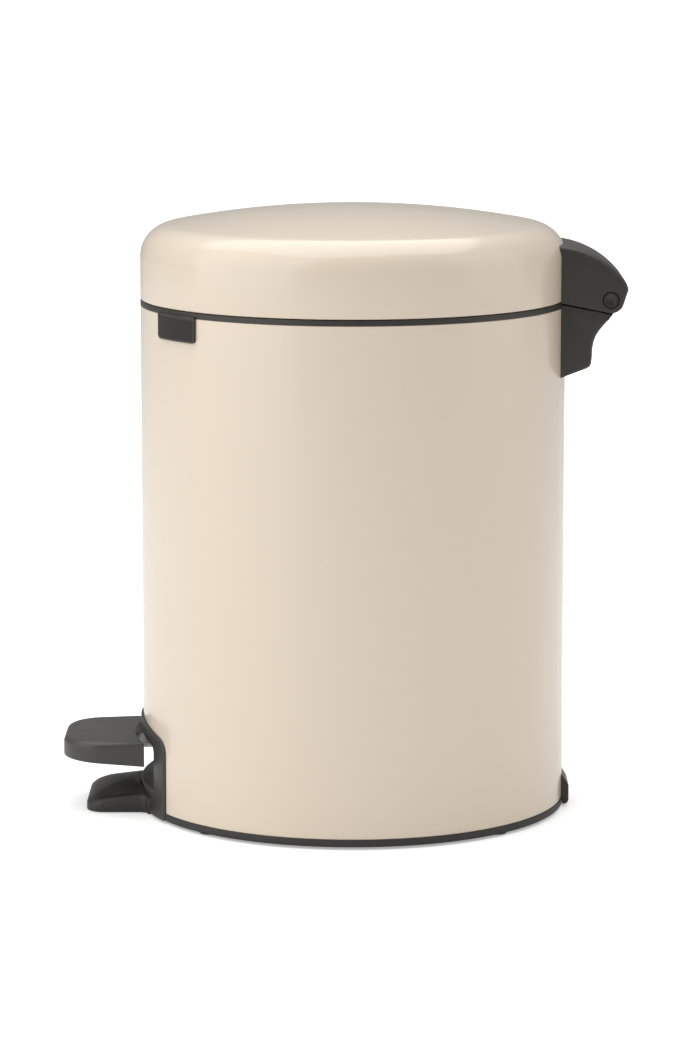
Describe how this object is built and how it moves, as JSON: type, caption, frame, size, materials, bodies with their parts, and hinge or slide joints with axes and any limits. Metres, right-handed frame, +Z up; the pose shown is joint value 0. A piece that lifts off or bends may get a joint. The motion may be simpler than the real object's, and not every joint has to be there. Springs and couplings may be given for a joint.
{
  "type": "pedal trash can",
  "caption": "Round steel pedal bin with a domed hinged lid, a push-rod pedal mechanism and a lift-out inner bucket with a bail handle.",
  "frame": {"origin": "on the floor, on the axis of the round body", "axes": "+Z up, +Y towards the lid's hinge, -Y towards the pedal, X across"},
  "size_m": [0.2058, 0.2724, 0.2932],
  "materials": {
    "body_enamel": "satin warm beige powder coat",
    "lid_enamel": "satin warm beige powder coat",
    "dark_plastic": "fine matte grain, warm dark grey",
    "pedal_plastic": "fine matte grain, warm dark grey",
    "black_plastic": "matte moulding",
    "liner_plastic": "matte moulding",
    "bucket_plastic": "matte moulding with draw marks",
    "badge": "blank satin plate",
    "rubber": "matte rubber",
    "steel": "zinc plated",
    "pin_finish": "blackened steel",
    "zinc_sheet": "zinc plated pressed sheet",
    "spring_steel": "blued spring steel",
    "rod_wire": "bright zinc plated wire",
    "bail_wire": "bright drawn wire"
  },
  "bodies": {
    "can": {"base_moulding": "black_plastic", "floor_ring": "rubber", "body_shell": "body_enamel", "rim_ring": "dark_plastic", "lid_buffers": "rubber", "badge_plate": "badge", "pedal_frame": "dark_plastic", "frame_screws": "steel", "rear_bumper": "dark_plastic", "hinge_bracket": "dark_plastic", "backing_plate": "zinc_sheet", "bracket_screws": "steel", "hinge_pin": "pin_finish", "pin_cap": "pin_finish"},
    "lid": {"lid_shell": "lid_enamel", "lid_liner": "liner_plastic", "lid_arm": "dark_plastic", "lid_arm_screws": "steel"},
    "pedal_lever_body": {"pedal": "pedal_plastic", "pedal_lever": "zinc_sheet", "pedal_screws": "steel", "pedal_axle": "steel", "axle_clips": "spring_steel"},
    "rod": {"push_rod": "rod_wire", "rod_clips": "spring_steel"},
    "bucket": {"inner_bucket": "bucket_plastic"},
    "bail": {"bucket_bail": "bail_wire"}
  },
  "joints": [
    {"name": "lid_swing", "type": "hinge", "parent": "can", "child": "lid", "pos_m": [0, 0.123, 0.25], "axis": [-1, 0, 0], "range_deg": [0, 80]},
    {"name": "pedal_press", "type": "hinge", "parent": "can", "child": "pedal_lever_body", "pos_m": [0, -0.054, 0.0275], "axis": [1, 0, 0], "range_deg": [0, 7.35]},
    {"name": "rod_lift", "type": "slide", "parent": "can", "child": "rod", "axis": [0, 0, 1], "range_m": [0, 0.01907]},
    {"name": "bucket_lift", "type": "slide", "parent": "can", "child": "bucket", "axis": [0, 0, 1], "range_m": [0, 0.003]},
    {"name": "bail_swing", "type": "hinge", "parent": "bucket", "child": "bail", "pos_m": [0, 0, 0.24365], "axis": [-1, 0, 0], "range_deg": [0, 16]}
  ],
  "couplings": [
    {"joint": "pedal_press", "follows": "lid_swing", "ratio": 0.091875},
    {"joint": "rod_lift", "follows": "lid_swing", "m_per_rad": 0.013658}
  ]
}
